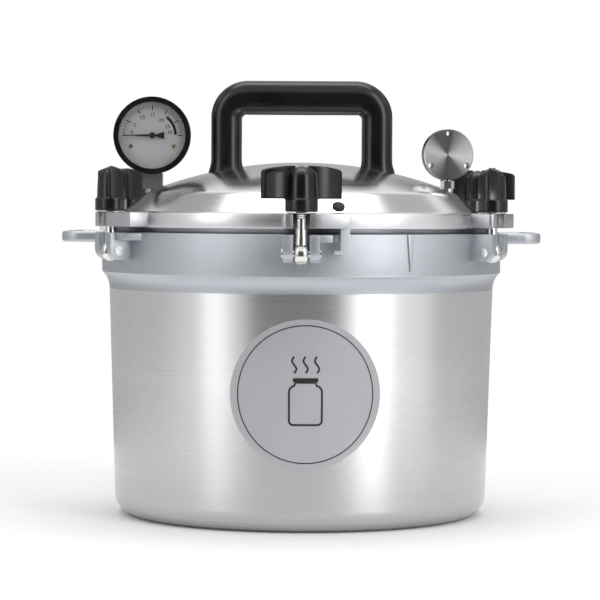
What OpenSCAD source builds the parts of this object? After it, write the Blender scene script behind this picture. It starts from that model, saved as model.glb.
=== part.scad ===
// Six-clamp pressure canner: cast pot, domed lid, dial gauge, regulator weight, rack and wing-nut clamps.
// Millimetres. The origin is the centre of the pot's flat base, +Z is up and -Y is the front.

/* [Pot] */
// Outer radius of the pot wall just above its bottom corner
pot_r_low = 156.3; // [155.5:0.1:157]
// Outer radius of the pot wall just under the thick upper band
pot_r_high = 161.4; // [161:0.1:161.8]
// Radius of the thick band round the top of the pot
band_r = 167.7; // [167:0.1:168]
// Height of the pot rim above the base
pot_h = 237.5; // [237:0.1:238]
// Height at which the thick upper band starts
band_z = 204; // [202:0.5:206]
// Thickness of the pot wall
wall = 6; // [5:0.25:6.5]
// Outside radius of the pot's bottom corner
corner_r = 17.3; // [14:0.1:19]
// Radius of the round front label
label_r = 59.5; // [40:0.5:65]
// Height of the label's centre
label_z = 111; // [100:1:125]

/* [Lid] */
// Height of the top of the lid above the pot base
lid_top = 295.5; // [294.5:0.1:296]
// Sphere radius of the lid's crown
crown_r = 347; // [340:1:355]
// Radius of the lid's flange
flange_r = 168; // [167.5:0.1:168.5]
// Thickness of the lid's flange
flange_t = 12.3; // [11.5:0.1:12.6]
// Gap that shows between the lid flange and the pot rim
flange_gap = 3.9; // [3.6:0.1:4.2]

/* [Clamps] */
// Number of clamps round the rim
clamp_count = 6; // [6]
// Distance of each clamp bolt from the pot's axis
bolt_ring_r = 178.3; // [178:0.1:178.8]
// Height of the hinge pins of the clamp bolts
pin_z = 222.3; // [221:0.1:223]
// Diameter of a clamp bolt's shank
bolt_d = 9.5; // [8.5:0.1:9.8]
// Thread pitch of the clamp bolts
pitch = 1.5875; // [1.25, 1.5, 1.5875]
// Width across the two wings of a wing nut
wing_span = 61.6; // [54:0.1:63]

/* [Handles] */
// Distance between the centres of the top handle's two legs
handle_span = 126.8; // [124:0.1:130]
// Width of each leg of the top handle
leg_w = 26; // [24:0.5:28]
// Height of the top of the top handle above the pot base
handle_top = 364.2; // [360:0.1:368]
// Front-to-back depth of the top handle
handle_d = 28; // [24:0.5:32]
// Reach of each side handle from the pot's axis
side_reach = 199.4; // [196:0.1:203]

/* [Gauge and weight] */
// Distance of the pressure gauge from the pot's axis
gauge_x = 125.5; // [124:0.1:127]
// Height of the gauge's centre
gauge_z = 317.6; // [317:0.1:319]
// Outer radius of the gauge's bezel
gauge_r = 32.4; // [32.2:0.1:32.8]
// Distance of the vent pipe from the pot's axis
vent_x = 123; // [122:0.1:125]
// Radius of the regulator weight
weight_r = 21.5; // [20.5:0.1:22]
// Height of the regulator weight's centre
weight_z = 302.7; // [302.6:0.1:304]

/* [Hidden] */
$fn = 96;

cast_grey = [0.72, 0.73, 0.76];
polished = [0.86, 0.86, 0.87];
bright = [0.8, 0.8, 0.78];
black = [0.06, 0.06, 0.06];
brass = [0.75, 0.6, 0.3];
nickel = [0.4, 0.4, 0.41];

// Lid levels
seat_z = pot_h + flange_gap;
lug_top = seat_z + flange_t;
crown_z = lid_top - crown_r;
lid_t = 6;
knuckle_r = 20;
knuckle_start = 21.5;
// Slope of the cone between the knuckle and the flange
cone_slope = 40;
foot_r = 4;

// Seal taper: the pot's cone, and the lid's cone a running gap inside it
seal_low_z = 226;
seal_low_r = pot_r_high - wall + 0.1;
seal_slope = 0.609;
seal_gap = 0.35;
spigot_low_z = 228;
spigot_t = 7;

// Pot floor and inside corner
floor_t = 7;
inner_corner = 12;
floor_r = pot_r_low - wall - inner_corner;

// Clamp lugs and hooks
ear_gap = 13;
ear_out = 14.6;
ear_root = 158;
ear_tip = 186;
ear_low_z = 215;
ear_corner_r = 9;
catch_low_z = 231;
pin_r = 3.2;
eye_r = 8.6;
eye_w = 9.2;
bolt_top = 277;
washer_t = 0.8;
nut_low = lug_top + washer_t + 0.3;
collar_top = 265;
nut_top = 291.2;
nut_hub_r = 11.3;
collar_r = 12.95;
insert_r = 7.5;
insert_h = 20;
// Turn of each wing nut's wings from the tangent of the rim
nut_turns = [0, 15, 24, -20, 42, -30];

// Gauge depths, measured along Y from the stem's axis, negative towards the front
case_r = gauge_r - 1.2;
case_in = case_r - 1.5;
case_front = -12;
case_back = 7;
lens_y = -15.6;
dial_y = -9;
dial_screw_x = 18;
dial_screw_z = -9;
sector_gap = 16.4;
tooth_module = 0.4;
pinion_teeth = 12;
sector_teeth = 70;

// Points on an arc about (cx, cy) from angle a0 to a1 in n steps
function arc(cx, cy, r, a0, a1, n) =
    [for (i = [0 : n]) [cx + r * cos(a0 + (a1 - a0) * i / n), cy + r * sin(a0 + (a1 - a0) * i / n)]];

// Outer height of the crown at a distance r from the axis
function crown_h(r) = crown_z + sqrt(crown_r * crown_r - r * r);

// Outer radius of the pot's tapering wall at a height z
function wall_r(z) = pot_r_low + (pot_r_high - pot_r_low) * (z - corner_r) / (190 - corner_r);

// Puts a child at clamp i, with local X outwards and local Y anticlockwise along the rim
module at_clamp(i) {
    rotate([0, 0, -90 + 360 / clamp_count * i]) children();
}

// A slab of the given Y range from an outline drawn in local X and Z
module across(y0, y1) {
    translate([0, y1, 0]) rotate([90, 0, 0]) linear_extrude(y1 - y0) children();
}

// A cylinder along Y
module y_rod(r, y0, y1) {
    translate([0, y1, 0]) rotate([90, 0, 0]) cylinder(r = r, h = y1 - y0);
}

// A ring along Y
module y_ring(r_out, r_in, y0, y1) {
    difference() {
        y_rod(r_out, y0, y1);
        y_rod(r_in, y0 - 1, y1 + 1);
    }
}

// ---- Pot ----

// The blend from the wall out to the band is an arc that starts upright at this height
blend_z = 190;
blend_out = band_r - pot_r_high;
blend_up = band_z - blend_z;
blend_turn = 2 * atan(blend_out / blend_up);
blend_r = blend_up / sin(blend_turn);

module pot_profile() {
    polygon(concat(
        [[0, 0]],
        arc(pot_r_low - corner_r, corner_r, corner_r, -90, 0, 12),
        arc(pot_r_high + blend_r, blend_z, blend_r, 180, 180 - blend_turn, 8),
        [[band_r, band_z + 0.6], [band_r, pot_h - 1.2], [band_r - 1.2, pot_h],
         [seal_low_r + seal_slope * (pot_h - seal_low_z), pot_h], [seal_low_r, seal_low_z]],
        arc(floor_r, floor_t + inner_corner, inner_corner, 0, -90, 8),
        [[0, floor_t]]));
}

// One ear of a clamp lug, with a rounded lower outer corner
module ear(y0, y1) {
    corner = ear_tip - ear_corner_r;
    across(y0, y1) difference() {
        translate([ear_root, ear_low_z]) square([ear_tip - ear_root, pot_h - ear_low_z]);
        difference() {
            translate([corner, ear_low_z - 1]) square([ear_corner_r + 1, ear_corner_r + 1]);
            translate([corner, ear_low_z + ear_corner_r]) circle(ear_corner_r);
        }
    }
}

// A pair of ears for the bolt, and the catch that a lid hook turns in under
module clamp_lug() {
    difference() {
        union() {
            ear(-ear_out, -ear_gap / 2);
            ear(ear_gap / 2, ear_out);
        }
        translate([bolt_ring_r, 0, pin_z]) y_rod(pin_r, -ear_out - 1, ear_out + 1);
    }
    translate([0, 0, catch_low_z]) linear_extrude(pot_h - catch_low_z)
        polygon([[160, 14], [182, 14], [180, 24.5], [168, 28.5], [160, 30]]);
}

// A D-shaped lifting loop that reaches out along local X
module side_handle() {
    loop_z = 228.5;
    loop_t = 9;
    half = 36;
    flare = 10;
    bar = 11;
    r_out = 14;
    r_in = 7;
    grip_half = 24;
    inner_angle = 10.5;
    translate([0, 0, loop_z]) linear_extrude(loop_t) difference() {
        polygon(concat(
            [[ear_root, -half - flare]],
            arc(side_reach - r_out, -half + r_out, r_out, -65, 0, 8),
            arc(side_reach - r_out, half - r_out, r_out, 0, 65, 8),
            [[ear_root, half + flare]]));
        polygon(concat(
            arc(side_reach - bar - r_in, -grip_half, r_in, -90, 0, 6),
            arc(side_reach - bar - r_in, grip_half, r_in, 0, 90, 6),
            arc(0, 0, band_r + 2, inner_angle, -inner_angle, 8)));
    }
}

// A narrow tapered rib on the band that marks where the lid lines up
module index_mark() {
    mark_angle = 31;
    mark_low = 208;
    proud = 0.8;
    rotate([0, 0, mark_angle]) rotate([90, 0, 0])
        translate([0, 0, -band_r - proud]) linear_extrude(5)
            polygon([[-3, pot_h - 0.5], [3, pot_h - 0.5], [0.8, mark_low], [-0.8, mark_low]]);
}

module pot_body() {
    color(cast_grey) difference() {
        union() {
            rotate_extrude() pot_profile();
            for (i = [0 : clamp_count - 1]) at_clamp(i) clamp_lug();
            side_handle();
            rotate([0, 0, 180]) side_handle();
            index_mark();
        }
        difference() {
            cylinder(r = seal_low_r, h = 300);
            translate([0, 0, -1]) cylinder(r = 200, h = seal_low_z - 20);
        }
        translate([0, 0, seal_low_z])
            cylinder(r1 = seal_low_r, r2 = seal_low_r + seal_slope * 20, h = 20);
    }
}

// The label is a thin skin that follows the wall's taper
module label_disc() {
    low = label_z - 70;
    high = label_z + 70;
    color([0.62, 0.63, 0.65]) intersection() {
        rotate_extrude() polygon([
            [wall_r(low) + 0.05, low], [wall_r(low) + 0.4, low],
            [wall_r(high) + 0.4, high], [wall_r(high) + 0.05, high]]);
        rotate([0, 0, 1.4]) translate([0, 0, label_z]) y_rod(label_r, -200, -100);
    }
}

module clamp_pins() {
    head_r = 3.85;
    head_t = 0.8;
    reach = ear_out + 0.1;
    color(bright) for (i = [0 : clamp_count - 1]) at_clamp(i)
        translate([bolt_ring_r, 0, pin_z]) {
            y_rod(pin_r - 0.02, -reach, reach);
            y_rod(head_r, reach, reach + head_t);
            y_rod(head_r, -reach - head_t, -reach);
        }
}

// Eye bolts: a flat eye on the hinge pin and an upright shank
module clamp_bolts() {
    color(bright) for (i = [0 : clamp_count - 1]) at_clamp(i)
        translate([bolt_ring_r, 0, 0]) difference() {
            union() {
                translate([0, 0, pin_z]) y_rod(eye_r, -eye_w / 2, eye_w / 2);
                translate([0, 0, pin_z]) cylinder(d = bolt_d, h = bolt_top - pin_z - 1);
                translate([0, 0, bolt_top - 1]) cylinder(d1 = bolt_d, d2 = bolt_d - 2, h = 1);
            }
            translate([0, 0, pin_z]) y_rod(pin_r + 0.08, -eye_w, eye_w);
        }
}

// Perforated jar rack with a turned-down rim and a ring of feet
rack_r = 144;
rack_low = floor_t + 0.3;
module rack() {
    rack_top = rack_low + 12;
    plate = 2;
    rim_h = 7;
    foot_ring = 115;
    foot_out = 9;
    foot_h = 11;
    hole_r = 5.5;
    hole_step = 24;
    color([0.78, 0.78, 0.8]) difference() {
        union() {
            translate([0, 0, rack_top - plate]) cylinder(r = rack_r, h = plate);
            translate([0, 0, rack_low + 4]) difference() {
                cylinder(r = rack_r, h = rim_h);
                translate([0, 0, -1]) cylinder(r = rack_r - plate, h = rim_h + 2);
            }
            for (a = [0 : 60 : 300]) rotate([0, 0, a]) translate([foot_ring, 0, rack_low]) difference() {
                cylinder(r = foot_out, h = foot_h);
                translate([0, 0, -1]) cylinder(r = foot_out - plate, h = foot_h);
            }
        }
        for (ring = [1 : 4], k = [0 : ring * 6 - 1])
            rotate([0, 0, 360 * k / (ring * 6)]) translate([hole_step * ring + 4, 0, 0])
                cylinder(r = hole_r, h = 60);
        cylinder(r = 10, h = 60);
    }
}

// ---- Lid ----

// End of the crown's arc, where the tighter knuckle takes over
knuckle_x = crown_r * sin(knuckle_start);
knuckle_cx = knuckle_x - knuckle_r * sin(knuckle_start);
knuckle_cz = crown_h(knuckle_x) - knuckle_r * cos(knuckle_start);
// Inner face of the bosses under the gauge and the vent pipe, and their seats on the outside
boss_face_z = 262;
stem_seat_z = 272.85;
pipe_seat_z = 273.95;
// Start of the cone, and the distance at which it would meet the top of the flange
cone_r = knuckle_cx + knuckle_r * sin(cone_slope);
cone_z = knuckle_cz + knuckle_r * cos(cone_slope);
cone_foot = cone_r + (cone_z - lug_top) / tan(cone_slope);
// The same two for the inside of the lid
inner_cone_r = knuckle_cx + (knuckle_r - lid_t) * sin(cone_slope);
inner_cone_z = knuckle_cz + (knuckle_r - lid_t) * cos(cone_slope);

// Outer height of the cone at a distance r from the axis
function cone_h(r) = cone_z - (r - cone_r) * tan(cone_slope);

module lid_profile() {
    spigot_r = seal_low_r - seal_gap;
    spigot_in = spigot_r - spigot_t;
    spigot_top = inner_cone_z - (spigot_in - inner_cone_r) * tan(cone_slope);
    rim_r = spigot_r + seal_slope * (seat_z - seal_low_z);
    polygon(concat(
        [[0, lid_top]],
        arc(0, crown_z, crown_r, 89, 90 - knuckle_start, 24),
        arc(knuckle_cx, knuckle_cz, knuckle_r, 87 - knuckle_start, 90 - cone_slope, 8),
        arc(cone_foot + foot_r * tan(cone_slope / 2), lug_top + foot_r, foot_r, 270 - cone_slope, 270, 4),
        [[flange_r - 1, lug_top], [flange_r, lug_top - 1], [flange_r, seat_z + 1],
         [flange_r - 1, seat_z], [rim_r, seat_z],
         [spigot_r + seal_slope * (spigot_low_z - seal_low_z), spigot_low_z],
         [spigot_in, spigot_low_z], [spigot_in, spigot_top]],
        arc(knuckle_cx, knuckle_cz, knuckle_r - lid_t, 90 - cone_slope, 90 - knuckle_start, 6),
        arc(0, crown_z, crown_r - lid_t, 91 - knuckle_start, 89, 20),
        [[0, lid_top - lid_t]]));
}

// Fastenings and fittings that pass through the lid
screw_r = 3;
tail_r = 6.5;
pipe_r = 4.7;
plug_neck_r = 2.55;

// Where a lid lug starts inside the flange, and how far its long side runs round
lug_root = 156;
lug_end = 37.9;

// A forked lug: short on the clockwise side, long on the other
module lid_lug() {
    slot_r = ear_gap / 2;
    under = 0.6;
    lug_tip = 186.5;
    corner = 3.5;
    translate([0, 0, seat_z + under]) linear_extrude(flange_t - under) difference() {
        polygon(concat(
            [[lug_root, -15], [lug_tip - corner - 1, -15]],
            arc(lug_tip - corner, corner - 15, corner, -80, 0, 4),
            [[lug_tip, 11], [lug_tip - 1, 16], [180, lug_end], [lug_root, lug_end]]));
        translate([bolt_ring_r, 0]) circle(slot_r);
        translate([bolt_ring_r, -slot_r]) square([20, slot_r * 2]);
    }
}

// A bar that hangs from the lug's long side, with a foot turned back under the pot's flange line
module lid_hook() {
    hook_in = 170;
    hook_w = 10;
    bar = 7.2;
    foot = 12.2;
    foot_low = 221.8;
    foot_top = 224.6;
    translate([hook_in, lug_end - bar, foot_top]) cube([hook_w, bar, seat_z + 2 - foot_top]);
    translate([hook_in, lug_end - foot, foot_low]) cube([hook_w, foot, foot_top - foot_low]);
}

module lid_casting() {
    boss_low = 280;
    boss_r = 10;
    stem_pad_r = 10;
    pipe_pad_r = 8;
    color(polished) difference() {
        union() {
            rotate_extrude() lid_profile();
            for (i = [0 : clamp_count - 1]) at_clamp(i) lid_lug();
            for (i = [0 : 2 : clamp_count - 1]) at_clamp(i) lid_hook();
            for (s = [-1, 1]) translate([s * handle_span / 2, 0, boss_low])
                cylinder(r = boss_r, h = crown_h(handle_span / 2 + boss_r + 2) - boss_low);
            translate([-gauge_x, 0, boss_face_z]) cylinder(r = stem_pad_r, h = stem_seat_z - boss_face_z);
            translate([vent_x, 0, boss_face_z]) cylinder(r = pipe_pad_r, h = pipe_seat_z - boss_face_z);
        }
        for (s = [-1, 1]) translate([s * handle_span / 2, 0, 270]) cylinder(r = screw_r + 0.1, h = 40);
        translate([-gauge_x, 0, 250]) cylinder(r = tail_r + 0.05, h = 40);
        translate([-gauge_x, 0, stem_seat_z]) cylinder(r = stem_pad_r + 1.8, h = 20);
        translate([vent_x, 0, 250]) cylinder(r = pipe_r + 0.05, h = 40);
        translate([vent_x, 0, pipe_seat_z]) cylinder(r = pipe_pad_r, h = 20);
        translate([vent_x, 0, boss_face_z - 8]) cylinder(r = pipe_pad_r + 0.4, h = 8);
        plug_place() cylinder(r = plug_neck_r + 0.05, h = 40, center = true);
    }
}

module clamp_washers() {
    washer_r = 11.5;
    color(bright) for (i = [0 : clamp_count - 1]) at_clamp(i)
        translate([bolt_ring_r, 0, lug_top]) difference() {
            cylinder(r = washer_r, h = washer_t);
            translate([0, 0, -1]) cylinder(r = bolt_d / 2 + 0.4, h = 4);
        }
}

// ---- Top handle ----

module top_handle() {
    half_w = handle_span / 2 + leg_w / 2;
    in_w = handle_span / 2 - leg_w / 2;
    bar_t = 28.7;
    bar_low = handle_top - bar_t;
    outer_r = 31;
    inner_r = 10.5;
    // The feet flare out below this height
    flare_z = 297;
    flare = 2;
    flare_low = 284;
    in_low = 275;
    color(black) difference() {
        across(-handle_d / 2, handle_d / 2) difference() {
            polygon(concat(
                [[-half_w - flare, flare_low], [half_w + flare, flare_low], [half_w, flare_z]],
                arc(half_w - outer_r, handle_top - outer_r, outer_r, 0, 90, 10),
                arc(-half_w + outer_r, handle_top - outer_r, outer_r, 90, 180, 10),
                [[-half_w, flare_z]]));
            polygon(concat(
                [[-in_w + 1.5 * flare, in_low], [in_w - 1.5 * flare, in_low], [in_w, flare_z]],
                arc(in_w - inner_r, bar_low - inner_r, inner_r, 0, 90, 6),
                arc(-in_w + inner_r, bar_low - inner_r, inner_r, 90, 180, 6),
                [[-in_w, flare_z]]));
        }
        translate([0, 0, crown_z]) sphere(r = crown_r + 0.1);
        for (s = [-1, 1]) translate([s * handle_span / 2, 0, 270]) cylinder(r = screw_r + 0.05, h = 42);
    }
}

// Screws that come up through the lid into the handle's feet
module handle_screws() {
    head_low = 276;
    head_t = 3.9;
    color(bright) for (s = [-1, 1]) translate([s * handle_span / 2, 0, head_low]) {
        translate([0, 0, head_t]) cylinder(r = screw_r, h = 30);
        cylinder(r = 2.1 * screw_r, h = head_t);
    }
}

// ---- Pressure gauge ----

module at_gauge() {
    translate([-gauge_x, 0, gauge_z]) children();
}

// The plated brass socket: threaded tail in the lid, square body, neck and inner block
module gauge_stem() {
    block = 16.4;
    neck_r = 5;
    tail_low = 259 - gauge_z;
    body_low = stem_seat_z + 0.05 - gauge_z;
    body_top = -case_r - 0.3;
    color(nickel) at_gauge() {
        translate([0, 0, tail_low]) cylinder(r = tail_r, h = body_low - tail_low + 1);
        translate([-block / 2, -block / 2, body_low]) cube([block, block, body_top - body_low]);
        translate([0, 0, body_top - 1]) cylinder(r = neck_r, h = 5);
        translate([-5.5, -4, -28.7]) cube([11, 6.5, 4.5]);
    }
}

module gauge_case() {
    color(black) at_gauge() difference() {
        y_rod(case_r, case_front, case_back);
        y_rod(case_in, case_front - 1, case_back - 1.5);
        translate([0, 0, -case_r - 2]) cylinder(r = 5.1, h = 8);
    }
}

module gauge_bezel() {
    lip_r = 28;
    color(black) at_gauge() {
        y_ring(gauge_r, case_r + 0.05, lens_y, dial_y);
        y_ring(gauge_r, lip_r, lens_y - 1.4, lens_y);
    }
}

module gauge_lens() {
    color([0.9, 0.95, 1, 0.3]) at_gauge() y_rod(case_r - 0.1, lens_y + 0.1, lens_y + 1.3);
}

module gauge_dial() {
    color([0.82, 0.82, 0.87]) at_gauge() difference() {
        y_rod(case_in - 0.1, dial_y, dial_y + 0.8);
        y_rod(1.5, dial_y - 1, dial_y + 2);
        for (s = [-1, 1]) translate([s * dial_screw_x, 0, dial_screw_z]) y_rod(0.95, dial_y - 1, dial_y + 2);
    }
}

module dial_screws() {
    color(brass) at_gauge() for (s = [-1, 1]) translate([s * dial_screw_x, 0, dial_screw_z]) {
        y_rod(1.6, dial_y - 0.8, dial_y);
        y_rod(0.9, dial_y, dial_y + 3.6);
    }
}

// Front and back plates of the movement, held apart by three posts
module gauge_movement() {
    post_places = [[-9, 6], [9, 6], [0, -21]];
    plate = 0.9;
    pivot_r = 0.86;
    color(brass) at_gauge() {
        difference() {
            union() for (y = [-5.4, -0.6]) across(y, y + plate) hull() {
                translate([-19, -9]) circle(3, $fn = 32);
                translate([19, -9]) circle(3, $fn = 32);
                translate([0, 7]) circle(5, $fn = 32);
                translate([0, -20]) circle(4, $fn = 32);
            }
            y_rod(pivot_r, -8, 4);
            translate([0, 0, -sector_gap]) y_rod(pivot_r, -8, 4);
        }
        for (p = post_places) translate([p[0], 0, p[1]]) y_rod(1, -4.5, -0.6);
    }
}

// The flattened tube that uncurls under pressure
module bourdon_tube() {
    coil_in = 24;
    tube_t = 2.4;
    tube_w = 7;
    start = -74;
    sweep = 265;
    color(brass) at_gauge() translate([0, 3.6, 0]) rotate([90, 0, 0])
        rotate([0, 0, start]) rotate_extrude(angle = sweep) translate([coil_in, 0]) square([tube_t, tube_w]);
}

// Toothed outline of a gear with straight-sided teeth and ample backlash
module teeth(count, first, last, pitch_r) {
    step = 360 / count;
    root_w = 0.62 * tooth_module;
    tip_w = 0.3 * tooth_module;
    for (k = [first : last]) rotate([0, 0, k * step]) polygon([
        [pitch_r - 1.2 * tooth_module, -root_w * 1.2], [pitch_r, -root_w],
        [pitch_r + 0.8 * tooth_module, -tip_w], [pitch_r + 0.8 * tooth_module, tip_w],
        [pitch_r, root_w], [pitch_r - 1.2 * tooth_module, root_w * 1.2]]);
}

// The sector turns on its own arbor under the pointer's
module gauge_sector() {
    pitch_r = tooth_module * sector_teeth / 2;
    root_r = pitch_r - 1.1 * tooth_module;
    color(brass) at_gauge() translate([0, 0, -sector_gap]) {
        across(-3.4, -2.4) {
            rotate([0, 0, 90]) teeth(sector_teeth, -8, 2, pitch_r);
            intersection() {
                difference() {
                    circle(root_r);
                    circle(root_r - 2.5);
                }
                polygon([[0, 0], [22 * cos(46), 22 * sin(46)], [22 * cos(78), 22 * sin(78)],
                    [22 * cos(103), 22 * sin(103)]]);
            }
            difference() {
                polygon([[-1.6, 0], [1.6, 0], [root_r * cos(66), root_r * sin(66) - 0.6],
                    [root_r * cos(84), root_r * sin(84) - 0.6]]);
                circle(0.5);
            }
            circle(2);
        }
        y_rod(0.8, -5, 0.2);
    }
}

module gauge_pointer() {
    pointer_y = -12.2;
    tip = 25.5;
    tail = 10;
    tail_half = 3.2;
    hub_r = 2.6;
    color(black) at_gauge() {
        across(pointer_y, pointer_y + 0.7) {
            polygon([[-tip, 0.1], [-tip, -0.1], [0, -1.1], [0, 1.1]]);
            polygon([[0, -0.9], [3.2, -0.9], [tail, -tail_half], [tail, tail_half], [3.2, 0.9], [0, 0.9]]);
            circle(hub_r);
        }
        y_rod(0.8, pointer_y + 0.5, 0.2);
    }
}

module pointer_pinion() {
    pitch_r = tooth_module * pinion_teeth / 2;
    color(brass) at_gauge() difference() {
        across(-4, -1.9) {
            rotate([0, 0, 90 + 180 / pinion_teeth]) teeth(pinion_teeth, 0, pinion_teeth - 1, pitch_r);
            circle(pitch_r - tooth_module);
        }
        y_rod(0.82, -6, 0);
    }
}

// ---- Vent, weight and plug ----

// Threaded tail, hexagon and seat pipe with a fine bore; the hexagon stands just under the weight
module vent_pipe() {
    tail_low = 259;
    hex_low = pipe_seat_z + 0.05;
    hex_top = weight_z - weight_r - 0.4;
    seat_r = 3.9;
    seat_top = 290;
    taper = 3;
    bore_r = 1.5;
    color(bright) translate([vent_x, 0, 0]) difference() {
        union() {
            translate([0, 0, tail_low]) cylinder(r = pipe_r, h = hex_low - tail_low + 1);
            translate([0, 0, hex_low]) cylinder(r = 5.8, h = hex_top - hex_low, $fn = 6);
            translate([0, 0, hex_top - 1]) cylinder(r = seat_r, h = seat_top - taper - hex_top + 1);
            translate([0, 0, seat_top - taper]) cylinder(r1 = seat_r, r2 = seat_r - taper / 2, h = taper);
        }
        translate([0, 0, 250]) cylinder(r = bore_r, h = 60);
    }
}

module vent_pipe_nut() {
    nut_t = 3.2;
    color(bright) translate([vent_x, 0, boss_face_z - nut_t - 0.1]) difference() {
        cylinder(r = 7.5, h = nut_t, $fn = 6);
        translate([0, 0, -1]) cylinder(r = pipe_r + 0.02, h = 8);
    }
}

// A turned disc with three face holes, and three rim sockets of which the lowest is on the pipe
module regulator_weight() {
    thick = 10;
    edge = 0.8;
    hole_ring = 17.9;
    hole_r = 2.4;
    socket_r = 4;
    socket_deep = 9.5;
    turn = 12;
    color([0.6, 0.6, 0.6]) translate([vent_x, 0, weight_z]) rotate([0, 0, turn]) difference() {
        rotate([90, 0, 0]) rotate_extrude() polygon([
            [0, -thick / 2], [weight_r - edge, -thick / 2], [weight_r, -thick / 2 + edge],
            [weight_r, thick / 2 - edge], [weight_r - edge, thick / 2], [0, thick / 2]]);
        for (a = [90, 210, 330]) translate([hole_ring * cos(a), 0, hole_ring * sin(a)])
            y_rod(hole_r, -thick, thick);
        for (a = [0, 120, 240]) rotate([0, a, 0]) translate([0, 0, -weight_r - 1])
            cylinder(r = socket_r, h = socket_deep + 1);
    }
}

// Places a child at the plug's seat low on the lid's cone, with local Z square to the surface
module plug_place() {
    plug_dist = 143.5;
    plug_turn = -78.2;
    rotate([0, 0, plug_turn]) translate([plug_dist, 0, cone_h(plug_dist)])
        rotate([0, cone_slope, 0]) children();
}

module overpressure_plug() {
    head_r = 5;
    lip_r = 3.4;
    neck_low = -8;
    color(black) plug_place() {
        translate([0, 0, neck_low]) cylinder(r = plug_neck_r, h = 0.3 - neck_low);
        translate([0, 0, 0.2]) cylinder(r = head_r, h = 0.8);
        translate([0, 0, 1]) cylinder(r1 = head_r, r2 = head_r - 1.6, h = 0.9);
        translate([0, 0, neck_low - 0.8]) cylinder(r = lip_r, h = 1.2);
    }
}

// ---- Wing nuts ----

// Threaded brass insert moulded into each wing nut
module nut_insert(i) {
    color(brass) at_clamp(i) translate([bolt_ring_r, 0, nut_low]) difference() {
        cylinder(r = insert_r, h = insert_h);
        translate([0, 0, -1]) cylinder(d = bolt_d + 0.2, h = insert_h + 2);
    }
}

// One wing: an upright plate that leaves the hub along local X and curls towards +Y
module wing() {
    plate = 2.6;
    curl_r = 34;
    root = 4;
    wing_h = 23;
    sweep = asin((wing_span / 2 - root) / curl_r);
    translate([root, curl_r, collar_top]) rotate([0, 0, -90]) rotate_extrude(angle = sweep)
        translate([curl_r - plate / 2, 0]) square([plate, wing_h]);
}

module wing_nut(i) {
    crown = 2;
    color(black) at_clamp(i) translate([bolt_ring_r, 0, 0]) difference() {
        union() {
            translate([0, 0, nut_low]) cylinder(r = collar_r, h = collar_top - nut_low);
            translate([0, 0, collar_top - 1]) cylinder(r = nut_hub_r, h = nut_top - crown - collar_top + 1);
            translate([0, 0, nut_top - crown]) cylinder(r1 = nut_hub_r, r2 = nut_hub_r - 3, h = crown);
            rotate([0, 0, 90 + nut_turns[i]]) wing();
            rotate([0, 0, 270 + nut_turns[i]]) wing();
        }
        translate([0, 0, nut_low - 1]) cylinder(r = insert_r + 0.06, h = insert_h + 1.4);
        translate([0, 0, nut_low + insert_h]) cylinder(d = bolt_d + 0.4, h = 9);
    }
}

pot_body();
label_disc();
clamp_pins();
clamp_bolts();
rack();
lid_casting();
clamp_washers();
top_handle();
handle_screws();
gauge_stem();
gauge_case();
gauge_bezel();
gauge_lens();
gauge_dial();
dial_screws();
gauge_movement();
bourdon_tube();
gauge_sector();
gauge_pointer();
pointer_pinion();
vent_pipe();
vent_pipe_nut();
regulator_weight();
overpressure_plug();
nut_insert(0);  // nut_insert_1
nut_insert(1);  // nut_insert_2
nut_insert(2);  // nut_insert_3
nut_insert(3);  // nut_insert_4
nut_insert(4);  // nut_insert_5
nut_insert(5);  // nut_insert_6
wing_nut(0);  // wing_nut_1
wing_nut(1);  // wing_nut_2
wing_nut(2);  // wing_nut_3
wing_nut(3);  // wing_nut_4
wing_nut(4);  // wing_nut_5
wing_nut(5);  // wing_nut_6
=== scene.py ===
import math

import bmesh
import bpy
from mathutils import Matrix, Vector


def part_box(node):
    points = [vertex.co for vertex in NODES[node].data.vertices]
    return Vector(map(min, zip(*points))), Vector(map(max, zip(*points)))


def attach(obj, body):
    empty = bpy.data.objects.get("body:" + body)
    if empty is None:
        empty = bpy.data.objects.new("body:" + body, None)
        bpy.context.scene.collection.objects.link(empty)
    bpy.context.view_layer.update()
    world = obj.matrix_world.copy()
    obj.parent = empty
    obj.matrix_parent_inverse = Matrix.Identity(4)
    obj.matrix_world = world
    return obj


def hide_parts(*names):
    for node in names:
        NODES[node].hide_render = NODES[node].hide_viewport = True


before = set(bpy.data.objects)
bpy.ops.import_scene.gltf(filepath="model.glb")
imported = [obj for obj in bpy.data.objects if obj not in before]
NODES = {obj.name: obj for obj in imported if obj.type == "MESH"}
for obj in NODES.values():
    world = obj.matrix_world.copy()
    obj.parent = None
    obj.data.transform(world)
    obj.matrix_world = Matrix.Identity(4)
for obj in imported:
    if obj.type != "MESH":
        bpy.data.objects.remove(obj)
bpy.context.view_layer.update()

MM = 0.001
TAU = 2 * math.pi
UPRIGHT = Matrix.Rotation(math.radians(90), 4, "X")

# ---- Main sizes, in millimetres, as the frame has them ----
POT_H = 237.5
BAND_R = 167.7
BAND_Z = 204
BLEND_Z = 190
WALL_LOW_R = 156.3
WALL_HIGH_R = 161.4
CORNER_R = 17.3
WALL_T = 6
FLOOR_T = 7
SEAL_Z = 226
SEAL_R = WALL_HIGH_R - WALL_T + 0.1
SEAL_SLOPE = 0.609
SEAT_Z = 241.4
LUG_TOP = 253.7
FLANGE_R = 168
DOME_TOP = 295.5
CROWN_R = 347
CROWN_Z = DOME_TOP - CROWN_R
LID_T = 6
KNUCKLE_R = 20
KNUCKLE_START = 21.5
CONE_SLOPE = 40
ROOT_R = 160
BOLT_R = 178.3
PIN_Z = 222.3
HOOK_OUT = 37.9
CLAMPS = 6
COLLAR_TOP = 265
NUT_LOW = 254.8
NUT_TOP = 291.2
NUT_TURNS = [0, 15, 24, -20, 42, -30]
GAUGE = Vector((-125.5, 0, 317.6))
LABEL_R = 59.5
LABEL_Z = 111
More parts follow.
